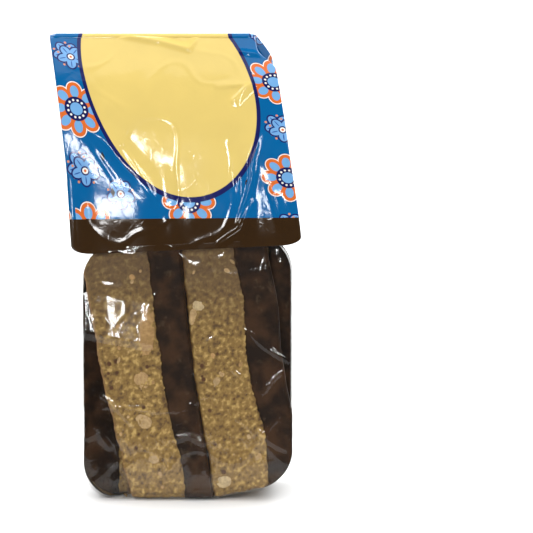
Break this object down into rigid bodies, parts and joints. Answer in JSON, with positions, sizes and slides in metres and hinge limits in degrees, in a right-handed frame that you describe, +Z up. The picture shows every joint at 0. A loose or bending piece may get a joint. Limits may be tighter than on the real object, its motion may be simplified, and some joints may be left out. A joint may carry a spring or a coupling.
{
  "type": "film pack of biscotti",
  "caption": "Upright sealed film bag of chocolate dipped almond biscotti, printed above and clear below, its top folded back.",
  "frame": {"origin": "on the flat of the base that the pack stands on, below the middle of the filled body", "axes": "+Z up along the pack, +X to the right seen from the front, the printed and clear front faces -Y"},
  "size_m": [0.1011, 0.0554, 0.1867],
  "materials": {
    "printed_film": "glossy printed film, blue with a yellow oval and a dark brown band",
    "clear_film": "clear glossy film with fine wrinkles",
    "biscuit": "baked tan crumb with coarse pores and a browned crust",
    "chocolate": "dark chocolate coating with a soft satin surface",
    "almond": "cut almond, pale cream with a brown skin"
  },
  "bodies": {
    "root": {"bag": "printed_film"}
  },
  "joints": []
}
